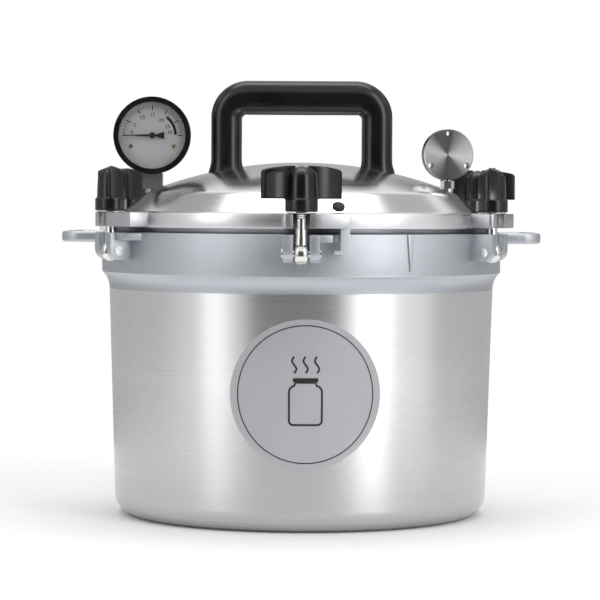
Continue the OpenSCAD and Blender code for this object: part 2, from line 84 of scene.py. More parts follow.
LABEL_TURN = 1.4
WEIGHT_TURN = 12
# The turn of the painted reflection on the regulator weight's face, in degrees
PAINTED_SHEEN_TURN = 13


# ---- Mesh helpers ----

def sind(degrees):
    return math.sin(math.radians(degrees))


def cosd(degrees):
    return math.cos(math.radians(degrees))


def polar(r, angle, z):
    """A point in metres, from a radius and a height in millimetres and an angle in radians."""
    return (r * math.cos(angle) * MM, r * math.sin(angle) * MM, z * MM)


def arc(cx, cy, r, a0, a1, n):
    """Points on an arc about (cx, cy), angles in degrees."""
    angles = [math.radians(a0 + (a1 - a0) * i / n) for i in range(n + 1)]
    return [(cx + r * math.cos(a), cy + r * math.sin(a)) for a in angles]


def clamp_matrix(i):
    """Local X outwards through clamp i, local Y anticlockwise along the rim."""
    return Matrix.Rotation(math.radians(-90 + 360 / CLAMPS * i), 4, "Z")


def join_rings(bm, rings, material=0, closed=False):
    """Skins a row of rings of vertices. An open row also gets its two end faces."""
    count = len(rings[0])
    pairs = list(zip(rings, rings[1:]))
    if closed:
        pairs.append((rings[-1], rings[0]))
    else:
        bm.faces.new(rings[0][::-1]).material_index = material
        bm.faces.new(rings[-1]).material_index = material
    for a, b in pairs:
        for k in range(count):
            n = (k + 1) % count
            bm.faces.new((a[k], a[n], b[n], b[k])).material_index = material


def add_lathe(bm, profile, steps=256, materials=None):
    """Revolves a closed (r, z) outline about Z. Points on the axis make one shared vertex."""
    on_axis = 1e-6
    columns = []
    for r, z in profile:
        if r < on_axis:
            columns.append([bm.verts.new(polar(0, 0, z))])
        else:
            columns.append([bm.verts.new(polar(r, TAU * k / steps, z)) for k in range(steps)])
    for i, low in enumerate(columns):
        high = columns[(i + 1) % len(columns)]
        if len(low) == 1 and len(high) == 1:
            continue
        index = materials[i] if materials else 0
        for k in range(steps):
            n = (k + 1) % steps
            if len(low) == 1:
                corners = (low[0], high[n], high[k])
            elif len(high) == 1:
                corners = (low[k], low[n], high[0])
            else:
                corners = (low[k], low[n], high[n], high[k])
            bm.faces.new(corners).material_index = index


def add_slab(bm, outline, low, high, place=Matrix.Identity(4), bevel=0.8, material=0):
    """A closed prism of an (x, y) outline between two heights, with softened edges, moved by place."""
    part = bmesh.new()
    bottom = [part.verts.new((x * MM, y * MM, low * MM)) for x, y in outline]
    top = [part.verts.new((x * MM, y * MM, high * MM)) for x, y in outline]
    count = len(outline)
    part.faces.new(bottom[::-1])
    part.faces.new(top)
    for k in range(count):
        n = (k + 1) % count
        part.faces.new((bottom[k], bottom[n], top[n], top[k]))
    bmesh.ops.recalc_face_normals(part, faces=part.faces)
    if bevel:
        sharp = [e for e in part.edges if e.calc_face_angle(0) > math.radians(25)]
        bmesh.ops.bevel(part, geom=sharp, offset=bevel * MM, segments=2, profile=0.6,
                        affect="EDGES", clamp_overlap=True)
    part.transform(place)
    for f in part.faces:
        f.material_index = material
    append(bm, part)


def append(bm, part):
    """Adds a bmesh's geometry to another one."""
    scratch = bpy.data.meshes.new("scratch")
    part.to_mesh(scratch)
    part.free()
    bm.from_mesh(scratch)
    bpy.data.meshes.remove(scratch)


def add_sweep(bm, path, section, side, scales=None, material=0):
    """Sweeps a closed section along an open path of points. side is the fixed sideways direction."""
    rings = []
    for i, p in enumerate(path):
        before, after = path[max(i - 1, 0)], path[min(i + 1, len(path) - 1)]
        along = (after - before).normalized()
        out = side.cross(along).normalized()
        wide, deep = scales[i] if scales else (1, 1)
        corners = [p + out * (u * wide) + side * (v * deep) for u, v in section]
        rings.append([bm.verts.new(corner * MM) for corner in corners])
    join_rings(bm, rings, material)


def superellipse(a, b, power, count):
    """Points round a rounded rectangle of half sizes a and b."""
    def squared_off(value):
        return math.copysign(abs(value) ** (2 / power), value)

    angles = [TAU * k / count for k in range(count)]
    return [(a * squared_off(math.cos(t)), b * squared_off(math.sin(t))) for t in angles]


def make(name, bm, materials, body, slot, *replaced, smooth=30):
    """Turns a bmesh into a finished piece that rides on a body and stands for CAD nodes."""
    bmesh.ops.recalc_face_normals(bm, faces=bm.faces)
    mesh = bpy.data.meshes.new(name)
    bm.to_mesh(mesh)
    bm.free()
    return make_object(name, mesh, materials, body, slot, *replaced, smooth=smooth)


def mesh_of(obj):
    """The object's mesh as it looks with its modifiers or curve settings applied; the object is removed."""
    depsgraph = bpy.context.evaluated_depsgraph_get()
    made = bpy.data.meshes.new_from_object(obj.evaluated_get(depsgraph))
    bpy.data.objects.remove(obj)
    return made


def make_object(name, mesh, materials, body, slot, *replaced, smooth=30):
    """Gives a mesh its materials and links it as a piece. Edges sharper than smooth degrees stay sharp."""
    for m in materials:
        mesh.materials.append(m)
    mesh.shade_smooth()
    mesh.set_sharp_from_angle(angle=math.radians(smooth))
    obj = bpy.data.objects.new(name, mesh)
    bpy.context.scene.collection.objects.link(obj)
    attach(obj, body)
    if replaced:
        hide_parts(*replaced)
    return obj


# ---- Materials ----

def new_material(name, color, metallic, roughness, **sockets):
    """A node material with its tree and shader. Sockets are named with _ for a space."""
    m = bpy.data.materials.new(name)
    m.use_nodes = True
    shader = m.node_tree.nodes["Principled BSDF"]
    shader.inputs["Base Color"].default_value = (*color, 1)
    shader.inputs["Metallic"].default_value = metallic
    shader.inputs["Roughness"].default_value = roughness
    for key, value in sockets.items():
        shader.inputs[key.replace("_", " ")].default_value = value
    return m, m.node_tree, shader


def noise(tree, scale, stretch=(1, 1, 1), detail=4, kind="Object"):
    """A noise value over the object's own coordinates, stretched along the axes."""
    coords = tree.nodes.new("ShaderNodeTexCoord")
    mapping = tree.nodes.new("ShaderNodeMapping")
    mapping.inputs["Scale"].default_value = stretch
    texture = tree.nodes.new("ShaderNodeTexNoise")
    texture.inputs["Scale"].default_value = scale
    texture.inputs["Detail"].default_value = detail
    tree.links.new(coords.outputs[kind], mapping.inputs["Vector"])
    tree.links.new(mapping.outputs["Vector"], texture.inputs["Vector"])
    return texture.outputs["Fac"]


def ranged(tree, value, low, high, from_low=0.3, from_high=0.7):
    """A value stretched from one range to another. A noise mostly lies between 0.3 and 0.7."""
    node = tree.nodes.new("ShaderNodeMapRange")
    node.inputs["From Min"].default_value = from_low
    node.inputs["From Max"].default_value = from_high
    node.inputs["To Min"].default_value = low
    node.inputs["To Max"].default_value = high
    tree.links.new(value, node.inputs["Value"])
    return node.outputs["Result"]


def tinted(tree, value, dark, light):
    """A colour that runs from dark to light with a value from 0 to 1."""
    mix = tree.nodes.new("ShaderNodeMix")
    mix.data_type = "RGBA"
    mix.inputs[6].default_value = (*dark, 1)
    mix.inputs[7].default_value = (*light, 1)
    tree.links.new(value, mix.inputs[0])
    return mix.outputs[2]


def bumped(tree, shader, value, strength, distance):
    """Roughens the surface by a value, to a depth in metres."""
    bump = tree.nodes.new("ShaderNodeBump")
    bump.inputs["Strength"].default_value = strength
    bump.inputs["Distance"].default_value = distance
    tree.links.new(value, bump.inputs["Height"])
    tree.links.new(bump.outputs["Normal"], shader.inputs["Normal"])


def metal(name, dark, light, rough_low, rough_high, scale, stretch=(1, 1, 1), bump=0.05, depth=0.0002,
          **sockets):
    """A metal whose colour, roughness and surface follow one noise."""
    m, tree, shader = new_material(name, light, 1.0, rough_low, **sockets)
    grain = noise(tree, scale, stretch)
    cloud = noise(tree, 9)
    tree.links.new(tinted(tree, ranged(tree, cloud, 0, 1), dark, light), shader.inputs["Base Color"])
    tree.links.new(ranged(tree, grain, rough_low, rough_high), shader.inputs["Roughness"])
    bumped(tree, shader, grain, bump, depth)
    return m


def spun(name, dark, light, rough_low, rough_high, anisotropy, bump, rows=(6, 6, 900)):
    """Metal turned on a lathe: fine rings round Z, and reflections drawn out upwards."""
    m = metal(name, dark, light, rough_low, rough_high, 1.0, rows, bump, 0.0001,
              Anisotropic=anisotropy, Anisotropic_Rotation=0.25)
    tree = m.node_tree
    tangent = tree.nodes.new("ShaderNodeTangent")
    tangent.direction_type = "RADIAL"
    tangent.axis = "Z"
    tree.links.new(tangent.outputs["Tangent"], tree.nodes["Principled BSDF"].inputs["Tangent"])
    return m


def moulded(name, dark, light, rough_low, rough_high, scale, bump=0.02, **sockets):
    """A plastic, enamel or rubber with faint mottling."""
    m, tree, shader = new_material(name, light, 0.0, rough_low, **sockets)
    cloud = noise(tree, scale)
    fine = noise(tree, scale * 12)
    tree.links.new(tinted(tree, ranged(tree, cloud, 0, 1), dark, light), shader.inputs["Base Color"])
    tree.links.new(ranged(tree, cloud, rough_low, rough_high), shader.inputs["Roughness"])
    bumped(tree, shader, fine, bump, 0.0002)
    return m


def shaded_foot(m, high, low, dark):
    """Paints shade into a metal's colour towards its foot, between two heights in millimetres."""
    tree = m.node_tree
    shader = tree.nodes["Principled BSDF"]
    color = shader.inputs["Base Color"].links[0].from_socket
    coords = tree.nodes.new("ShaderNodeTexCoord")
    split = tree.nodes.new("ShaderNodeSeparateXYZ")
    tree.links.new(coords.outputs["Object"], split.inputs[0])
    level = ranged(tree, split.outputs["Z"], 0, 1, low * MM, high * MM)
    mix = tree.nodes.new("ShaderNodeMix")
    mix.data_type = "RGBA"
    mix.blend_type = "MULTIPLY"
    mix.inputs[0].default_value = 1
    tree.links.new(color, mix.inputs[6])
    tree.links.new(tinted(tree, level, dark, (1, 1, 1)), mix.inputs[7])
    tree.links.new(mix.outputs[2], shader.inputs["Base Color"])
    return m


WALL = spun("wall_turned", (0.84, 0.84, 0.85), (0.87, 0.87, 0.88), 0.27, 0.30, 0.5, 0.0012, (3, 3, 1500))
# Painted shade: the wall's colour darkens towards its foot.
shaded_foot(WALL, 120, 26, (0.66, 0.66, 0.66))
BAND = metal("band_blasted", (0.52, 0.54, 0.58), (0.60, 0.62, 0.66), 0.42, 0.55, 900, bump=0.25,
             depth=0.00025)
RIM = spun("rim_machined", (0.78, 0.78, 0.80), (0.88, 0.88, 0.90), 0.2, 0.3, 0.4, 0.04)
INSIDE = spun("inside_satin", (0.62, 0.63, 0.65), (0.74, 0.75, 0.77), 0.34, 0.46, 0.4, 0.06)
DOME = spun("dome_polished", (0.82, 0.82, 0.83), (0.90, 0.90, 0.91), 0.13, 0.20, 0.6, 0.004)
FLANGE = spun("flange_machined", (0.80, 0.80, 0.82), (0.88, 0.88, 0.89), 0.30, 0.38, 0.5, 0.02)
# Painted shade: the lid's seal is dark grey metal, standing for the shade in the gap between lid and pot.
SEAL = spun("seal_painted_shade", (0.30, 0.31, 0.33), (0.38, 0.39, 0.41), 0.3, 0.4, 0.4, 0.04)
NICKEL = metal("dull_nickel", (0.40, 0.40, 0.41), (0.50, 0.50, 0.51), 0.3, 0.42, 500, bump=0.06)
# Painted shade: the lugs' aluminium is darker than the flange's, for the shade on their faces.
LUG = metal("lug_satin_painted_shade", (0.54, 0.55, 0.57), (0.64, 0.65, 0.67), 0.32, 0.44, 700, bump=0.12)
HOOK = metal("hook_cast", (0.76, 0.82, 0.81), (0.86, 0.92, 0.91), 0.5, 0.6, 700, bump=0.2)
STEEL = metal("bright_plate", (0.72, 0.73, 0.70), (0.86, 0.87, 0.84), 0.1, 0.2, 400, bump=0.03)
BRASS = metal("machined_brass", (0.62, 0.47, 0.20), (0.80, 0.64, 0.32), 0.2, 0.34, 500, bump=0.05)
RACK = metal("rack_sheet", (0.66, 0.67, 0.68), (0.80, 0.80, 0.82), 0.3, 0.42, 250, bump=0.05)
PHENOLIC = moulded("black_phenolic", (0.004, 0.004, 0.004), (0.012, 0.012, 0.011), 0.16, 0.26, 40,
                   bump=0.015)
ENAMEL = moulded("black_enamel", (0.004, 0.004, 0.004), (0.010, 0.010, 0.010), 0.2, 0.32, 60)
RUBBER = moulded("black_rubber", (0.010, 0.010, 0.010), (0.020, 0.020, 0.020), 0.6, 0.75, 200, bump=0.1)
INK = moulded("printed_ink", (0.010, 0.010, 0.011), (0.022, 0.022, 0.024), 0.45, 0.55, 150)
DIAL = moulded("dial_paint", (0.90, 0.90, 0.93), (0.94, 0.94, 0.97), 0.4, 0.5, 90)


def label_material():
    """Brushed film, its grain running round the pot."""
    m, tree, shader = new_material("label_film", (0.42, 0.43, 0.45), 0.1, 0.5)
    grain = noise(tree, 1.0, (6, 6, 1400))
    cloud = noise(tree, 14)
    tree.links.new(tinted(tree, ranged(tree, cloud, 0, 1), (0.40, 0.41, 0.43), (0.46, 0.47, 0.49)),
                   shader.inputs["Base Color"])
    tree.links.new(ranged(tree, grain, 0.46, 0.56), shader.inputs["Roughness"])
    bumped(tree, shader, grain, 0.02, 0.0001)
    return m


def weight_fan(tree, place):
    """A painted reflection for a turned disc: two bright sectors of painted highlight and two dark ones of
    painted shade, from 0 to 1.
    """
    darkest, brightest = -0.75, 0.95
    split = tree.nodes.new("ShaderNodeSeparateXYZ")
    tree.links.new(place, split.inputs[0])
    angle = tree.nodes.new("ShaderNodeMath")
    angle.operation = "ARCTAN2"
    tree.links.new(split.outputs["Z"], angle.inputs[0])
    tree.links.new(split.outputs["X"], angle.inputs[1])
    double = tree.nodes.new("ShaderNodeMath")
    double.operation = "MULTIPLY_ADD"
    double.inputs[1].default_value = 2
    double.inputs[2].default_value = -2 * math.radians(PAINTED_SHEEN_TURN)
    tree.links.new(angle.outputs[0], double.inputs[0])
    wave = tree.nodes.new("ShaderNodeMath")
    wave.operation = "COSINE"
    tree.links.new(double.outputs[0], wave.inputs[0])
    return ranged(tree, wave.outputs[0], 0, 1, darkest, brightest)


def weight_material():
    """Steel faced on a lathe: fine rings about the disc's own axis, and a painted fan-shaped reflection on
    its front.
    """
    m, tree, shader = new_material("turned_face_painted_sheen", (0.5, 0.5, 0.5), 1.0, 0.3, Anisotropic=0.85)
    link = tree.links.new
    lo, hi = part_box("regulator_weight")
    axis = (sind(WEIGHT_TURN), -cosd(WEIGHT_TURN), 0)
    coords = tree.nodes.new("ShaderNodeTexCoord")
    centre = tree.nodes.new("ShaderNodeVectorMath")
    centre.operation = "SUBTRACT"
    centre.inputs[1].default_value = (lo + hi) / 2
    link(coords.outputs["Object"], centre.inputs[0])
    along = tree.nodes.new("ShaderNodeVectorMath")
    along.operation = "CROSS_PRODUCT"
    along.inputs[1].default_value = axis
    link(centre.outputs[0], along.inputs[0])
    link(along.outputs[0], shader.inputs["Tangent"])
    distance = tree.nodes.new("ShaderNodeVectorMath")
    distance.operation = "LENGTH"
    link(centre.outputs[0], distance.inputs[0])
    ring = tree.nodes.new("ShaderNodeTexNoise")
    ring.noise_dimensions = "1D"
    ring.inputs["Scale"].default_value = 2200
    link(distance.outputs["Value"], ring.inputs["W"])
    grain = ring.outputs["Fac"]
    link(ranged(tree, grain, 0.3, 0.42), shader.inputs["Roughness"])
    # Faces turned away from the front take the bright end of the painted reflection
    facing = tree.nodes.new("ShaderNodeVectorMath")
    facing.operation = "DOT_PRODUCT"
    facing.inputs[1].default_value = axis
    link(coords.outputs["Normal"], facing.inputs[0])
    back = ranged(tree, facing.outputs["Value"], 1, 0, -0.6, -0.3)
    fan = tree.nodes.new("ShaderNodeMath")
    fan.operation = "MAXIMUM"
    link(weight_fan(tree, centre.outputs[0]), fan.inputs[0])
    link(back, fan.inputs[1])
    # The painted reflection runs the colour from the dark sectors to the bright ones.
    dull = tinted(tree, fan.outputs[0], (0.075, 0.075, 0.076), (0.56, 0.56, 0.56))
    shiny = tinted(tree, fan.outputs[0], (0.11, 0.11, 0.112), (0.72, 0.72, 0.72))
    mix = tree.nodes.new("ShaderNodeMix")
    mix.data_type = "RGBA"
    link(ranged(tree, grain, 0, 1), mix.inputs[0])
    link(dull, mix.inputs[6])
    link(shiny, mix.inputs[7])
    link(mix.outputs[2], shader.inputs["Base Color"])
    bumped(tree, shader, grain, 0.06, 0.0001)
    return m


def glass_material():
    """Clear glass with faint smears."""
    m, tree, shader = new_material("gauge_glass", (1, 1, 1), 0.0, 0.02, Transmission_Weight=1.0, IOR=1.45)
    smear = noise(tree, 40)
    tree.links.new(ranged(tree, smear, 0.0, 0.03), shader.inputs["Roughness"])
    return m


def paint(node, material):
    """Gives a CAD node its material."""
    slots = NODES[node].data.materials
    slots.clear()
    slots.append(material)


LABEL = label_material()
TURNED = weight_material()
GLASS = glass_material()

for node in ("clamp_pins", "handle_screws", "vent_pipe", "vent_pipe_nut"):
    paint(node, STEEL)
paint("gauge_stem", NICKEL)
paint("clamp_washers", NICKEL)
for node in ("dial_screws", "gauge_movement", "bourdon_tube", "gauge_sector", "pointer_pinion"):
    paint(node, BRASS)
for k in range(CLAMPS):
    paint(f"nut_insert_{k + 1}", BRASS)
paint("label_disc", LABEL)
paint("rack", RACK)
paint("gauge_case", ENAMEL)
paint("gauge_bezel", ENAMEL)
paint("gauge_lens", GLASS)
paint("gauge_dial", DIAL)
paint("gauge_pointer", INK)
paint("regulator_weight", TURNED)
paint("overpressure_plug", RUBBER)


# ---- Pot ----

def ear_outline():
    """Side view of a clamp ear: distance out and height."""
    low, tip, r = 215, 186, 9
    top = POT_H - 0.3
    return [(ROOT_R, top), (ROOT_R, low)] + arc(tip - r, low + r, r, -90, 0, 6) + [(tip, top)]


def pot_outline():
    """The pot's outline from the middle of its base, up the outside and down the inside. Beside it comes the
    material of each stretch: 0 for the wall, 1 for the band, 2 for the rim and 3 for the inside."""
    blend_out, blend_up = BAND_R - WALL_HIGH_R, BAND_Z - BLEND_Z
    turn = 2 * math.degrees(math.atan(blend_out / blend_up))
    blend_r = blend_up / math.sin(math.radians(turn))
    outside = [(0, 0)]
    outside += arc(WALL_LOW_R - CORNER_R, CORNER_R, CORNER_R, -90, 0, 16)
    steps, blend_steps, inner_corner = 8, 10, 12
    outside += [(WALL_LOW_R + (WALL_HIGH_R - WALL_LOW_R) * k / steps,
                 CORNER_R + (BLEND_Z - CORNER_R) * k / steps) for k in range(1, steps)]
    outside += arc(WALL_HIGH_R + blend_r, BLEND_Z, blend_r, 180, 180 - turn, blend_steps)
    band_start = len(outside) - 1
    outside += [(BAND_R - 0.1, BAND_Z + 0.6), (BAND_R, BAND_Z + 1.4), (BAND_R, POT_H - 1.2),
                (BAND_R - 0.35, POT_H - 0.35), (BAND_R - 1.2, POT_H)]
    rim_start = len(outside) - 1
    outside += [(SEAL_R + SEAL_SLOPE * (POT_H - SEAL_Z), POT_H), (SEAL_R, SEAL_Z)]
    inside_start = len(outside) - 1
    outside += arc(WALL_LOW_R - WALL_T - inner_corner, FLOOR_T + inner_corner, inner_corner, 0, -90, 10)
    outside += [(0, FLOOR_T)]
    index = [0] * len(outside)
    for k in range(len(outside)):
        if k >= inside_start:
            index[k] = 3
        elif k >= rim_start:
            index[k] = 2
        elif k >= band_start - blend_steps:
            index[k] = 1
    return outside, index


def add_clamp_seats(bm):
    """The pairs of ears that hold the bolts, and the catches that the lid's hooks slide under."""
    ear_in, ear_out, edge = 6.5, 14.6, 0.9
    catch = [(ROOT_R, 14), (182, 14), (180, 24.5), (168, 28.5), (ROOT_R, 30)]
    catch_low = 231
    for i in range(CLAMPS):
        place = clamp_matrix(i)
        for y0, y1 in ((-ear_out, -ear_in), (ear_in, ear_out)):
            add_slab(bm, ear_outline(), -y1, -y0, place @ UPRIGHT, edge, 1)
        add_slab(bm, catch, catch_low, POT_H - 0.4, place, edge, 1)


def add_side_handles(bm):
    """A flat loop on either side of the rim."""
    bend_x, bend_y, bend_r, root_y, height = 182, 29, 12, 41, 233
    path = [(ROOT_R, -root_y)] + arc(bend_x, -bend_y, bend_r, -80, 0, 8)
    path += arc(bend_x, bend_y, bend_r, 0, 80, 8) + [(ROOT_R, root_y)]
    section = superellipse(5.4, 4.5, 4, 28)
    for turn in (0, math.pi):
        place = Matrix.Rotation(turn, 4, "Z")
        line = [place @ Vector((x, y, height)) for x, y in path]
        add_sweep(bm, line, section, Vector((0, 0, 1)), material=1)


def add_index_mark(bm):
    """The tapering rib on the band that shows where the lid goes on."""
    azimuth, top, low, root, rise = -59, POT_H - 0.6, 208, 164, 1.5
    mark = [(-3, top), (3, top), (0.8, low), (-0.8, low)]
    place = Matrix.Rotation(math.radians(azimuth + 90), 4, "Z") @ UPRIGHT
    add_slab(bm, mark, root, BAND_R + rise, place, 0.3, 1)


def build_pot():
    """The turned pot and, in the band's material, what stands out from it."""
    bm = bmesh.new()
    outline, index = pot_outline()
    add_lathe(bm, outline, materials=index)
    add_clamp_seats(bm)
    add_side_handles(bm)
    add_index_mark(bm)
    return make("pot_shell", bm, [WALL, BAND, RIM, INSIDE], "pot", "cast_aluminium", "pot_body")


build_pot()


# ---- Clamp bolts ----

def add_thread(bm, radius, depth, pitch, low, high, steps=40):
    """A threaded rod along Z: the radius of each vertex follows the helix."""
    rows = 6
    count = round((high - low) / pitch * rows)
    rings = []
    for j in range(count + 1):
        z = low + (high - low) * j / count
        ends = min(1, (z - low) / pitch, (high - z) / pitch)
        ring = []
        for k in range(steps):
            phase = ((z - low) / pitch - k / steps) % 1
            r = radius - depth * abs(2 * phase - 1) * ends
            ring.append(bm.verts.new(polar(r, TAU * k / steps, z)))
        rings.append(ring)
    join_rings(bm, rings)


def build_bolts():
    """Swing bolts: a forged eye on the hinge pin, a flared neck and a threaded shank."""
    bm = bmesh.new()
    thread_r, thread_depth, pitch, thread_low, tip = 4.7, 0.55, 1.5875, 248.5, 277
    neck_low, neck_top = 226, 249
    neck = [(0, neck_low), (5.5, neck_low), (5.2, 232), (4.6, 238), (4.35, 244)]
    neck += [(4.35, neck_top), (0, neck_top)]
    ring = [(3.3, -4.2), (3.6, -4.9), (5, -5.5), (7, -4.8), (8.2, -3), (8.6, 0)]
    ring += [(r, -z) for r, z in ring[-2::-1]]
    for i in range(CLAMPS):
        part = bmesh.new()
        add_lathe(part, neck, 40)
        add_thread(part, thread_r, thread_depth, pitch, thread_low, tip)
        eye = bmesh.new()
        add_lathe(eye, ring, 48)
        eye.transform(Matrix.Translation((0, 0, PIN_Z * MM)) @ UPRIGHT)
        append(part, eye)
        part.transform(clamp_matrix(i) @ Matrix.Translation((BOLT_R * MM, 0, 0)))
        append(bm, part)
    return make("swing_bolts", bm, [STEEL], "pot", "bright_steel", "clamp_bolts", smooth=40)


build_bolts()


# ---- Label print ----

def wall_radius(z):
    """The tapering wall's radius at a height."""
    return WALL_LOW_R + (WALL_HIGH_R - WALL_LOW_R) * (z - CORNER_R) / (BLEND_Z - CORNER_R)


def on_label(x, z, lift):
    """A point of the label's plane laid on the tapering wall."""
    r = wall_radius(LABEL_Z + z) + 0.4 + lift
    a = x / r + math.radians(LABEL_TURN)
    return Vector((r * math.sin(a), -r * math.cos(a), LABEL_Z + z)) * MM


def split_long(points, closed, step=2):
    """Cuts the long stretches of a path, so that a line laid on the curved wall doesn't sink into it."""
    ends = points[1:] + points[:1] if closed else points[1:]
    made = []
    for (x0, z0), (x1, z1) in zip(points, ends):
        parts = max(1, math.ceil(math.hypot(x1 - x0, z1 - z0) / step))
        made += [(x0 + (x1 - x0) * k / parts, z0 + (z1 - z0) * k / parts) for k in range(parts)]
    return made if closed else made + points[-1:]


def add_ribbon(bm, points, width, closed=False):
    """A thin printed line of even width along a path of (x, z) points on the label."""
    low, high = 0.02, 0.1
    points = split_long(points, closed)
    count = len(points)
    rings = []
    for i, (x, z) in enumerate(points):
        if closed:
            (x0, z0), (x1, z1) = points[i - 1], points[(i + 1) % count]
        else:
            (x0, z0), (x1, z1) = points[max(i - 1, 0)], points[min(i + 1, count - 1)]
        length = math.hypot(x1 - x0, z1 - z0)
        u, v = -(z1 - z0) / length * width / 2, (x1 - x0) / length * width / 2
        corners = ((-1, low), (1, low), (1, high), (-1, high))
        rings.append([bm.verts.new(on_label(x + u * s, z + v * s, lift)) for s, lift in corners])
    join_rings(bm, rings, closed=closed)


def build_label_print():
    """A plain mark: a thin ring, and the outline of a preserving jar over three rising lines of steam."""
    bm = bmesh.new()
    add_ribbon(bm, arc(0, 0, LABEL_R - 5, 0, 357, 119), 0.9, closed=True)
    half, low, shoulder, neck, corner = 13, -24, 2, 9, 3.5
    jar = arc(half - corner, low + corner, corner, -90, 0, 6)
    jar += arc(half - 5, shoulder, 5, 0, 80, 6) + [(neck - 1, shoulder + 7.5)]
    left = [(-x, z) for x, z in jar[::-1]]
    add_ribbon(bm, jar + left, 1.6, closed=True)
    cap = [(-neck - 1, shoulder + 9.5), (0, shoulder + 9.5), (neck + 1, shoulder + 9.5)]
    add_ribbon(bm, cap, 3.2)
    for x0 in (-9, 0, 9):
        steam = [(x0 + 1.7 * math.sin(t * TAU / 16), 17 + 13 * t / 16) for t in range(17)]
        add_ribbon(bm, steam, 1.5)
    return make("label_print", bm, [INK], "pot", "pointer_black")


build_label_print()


# ---- Lid ----

def lid_outline():
    """The lid's outline from the top of its dome, down the outside and up the inside. Beside it comes the
    material of each stretch: 0 for the dome, 1 for the flange, 2 for the inside and 4 for the seal, which
    is darkened as painted shade."""
    foot_r = 4
    slope = sind(CONE_SLOPE) / cosd(CONE_SLOPE)
    cx = (CROWN_R - KNUCKLE_R) * sind(KNUCKLE_START)
    cz = CROWN_Z + (CROWN_R - KNUCKLE_R) * cosd(KNUCKLE_START)
    cone_x = cx + KNUCKLE_R * sind(CONE_SLOPE)
    cone_z = cz + KNUCKLE_R * cosd(CONE_SLOPE)
    foot_x = cone_x + (cone_z - LUG_TOP) / slope + foot_r * sind(CONE_SLOPE / 2) / cosd(CONE_SLOPE / 2)
    profile = [(0, DOME_TOP)] + arc(0, CROWN_Z, CROWN_R, 89.5, 90 - KNUCKLE_START, 60)
    profile += arc(cx, cz, KNUCKLE_R, 88 - KNUCKLE_START, 90 - CONE_SLOPE, 16)
    profile += arc(foot_x, LUG_TOP + foot_r, foot_r, 270 - CONE_SLOPE, 270, 8)
    flange_start = len(profile) - 1
    profile += [(FLANGE_R - 1, LUG_TOP), (FLANGE_R - 0.3, LUG_TOP - 0.3), (FLANGE_R, LUG_TOP - 1),
                (FLANGE_R, SEAT_Z + 1), (FLANGE_R - 0.3, SEAT_Z + 0.3), (FLANGE_R - 1, SEAT_Z)]
    spigot_r = SEAL_R - 0.35
    spigot_in = spigot_r - 7
    spigot_z = SEAL_Z + 2
    profile += [(spigot_r + SEAL_SLOPE * (SEAT_Z - SEAL_Z), SEAT_Z),
                (spigot_r + SEAL_SLOPE * (spigot_z - SEAL_Z), spigot_z)]
    inner_start = len(profile) - 2
    inner_r = KNUCKLE_R - LID_T
    inner_x, inner_z = cx + inner_r * sind(CONE_SLOPE), cz + inner_r * cosd(CONE_SLOPE)
    profile += [(spigot_in, spigot_z), (spigot_in, inner_z - (spigot_in - inner_x) * slope)]
    profile += arc(cx, cz, inner_r, 90 - CONE_SLOPE, 90 - KNUCKLE_START, 12)
    profile += arc(0, CROWN_Z, CROWN_R - LID_T, 91 - KNUCKLE_START, 89.5, 40)
    profile += [(0, DOME_TOP - LID_T)]
    index = [2 if k >= inner_start else 1 if k >= flange_start else 0 for k in range(len(profile))]
    index[inner_start - 1] = index[inner_start] = 4
    return profile, index


def lug_outline():
    """A forked lug from above: distance out and anticlockwise. Its slot takes the bolt."""
    slot, tip, side, end = 6.5, 186.5, 15, HOOK_OUT
    outline = [(ROOT_R, end), (ROOT_R, -side), (182, -side)] + arc(183, -11.5, 3.5, -80, 0, 4)
    outline += [(tip, -slot)] + arc(BOLT_R, 0, slot, 90, 270, 12)[::-1]
    return outline + [(tip, slot), (tip, 11), (185.5, 16), (180, end)]


def hook_outline():
    """A hook from outside: distance anticlockwise and height. Its toe points back towards the bolt."""
    top, toe_top, toe_low = SEAT_Z + 3, 224.6, 221.8
    shank, toe = HOOK_OUT - 7.2, HOOK_OUT - 12.2
    outline = [(shank, top), (shank, toe_top), (toe, toe_top)]
    return outline + [(toe, toe_low), (HOOK_OUT, toe_low), (HOOK_OUT, top)]


def build_lid():
    """The spun casting with its six lugs, material 3, and a hook, material 5, under every other lug."""
    bm = bmesh.new()
    outline, index = lid_outline()
    add_lathe(bm, outline, materials=index)
    hook_in, hook_far, edge = 170, 180, 0.7
    stand = Matrix(((0, 0, 1, 0), (1, 0, 0, 0), (0, 1, 0, 0), (0, 0, 0, 1)))
    for i in range(CLAMPS):
        place = clamp_matrix(i)
        add_slab(bm, lug_outline(), SEAT_Z + 0.6, LUG_TOP - 0.15, place, edge, 3)
        if i % 2 == 0:
            add_slab(bm, hook_outline(), hook_in, hook_far, place @ stand, edge, 5)
    materials = [DOME, FLANGE, INSIDE, LUG, SEAL, HOOK]
    return make("lid_shell", bm, materials, "lid", "polished_aluminium", "lid_casting")


build_lid()


# ---- Top handle ----

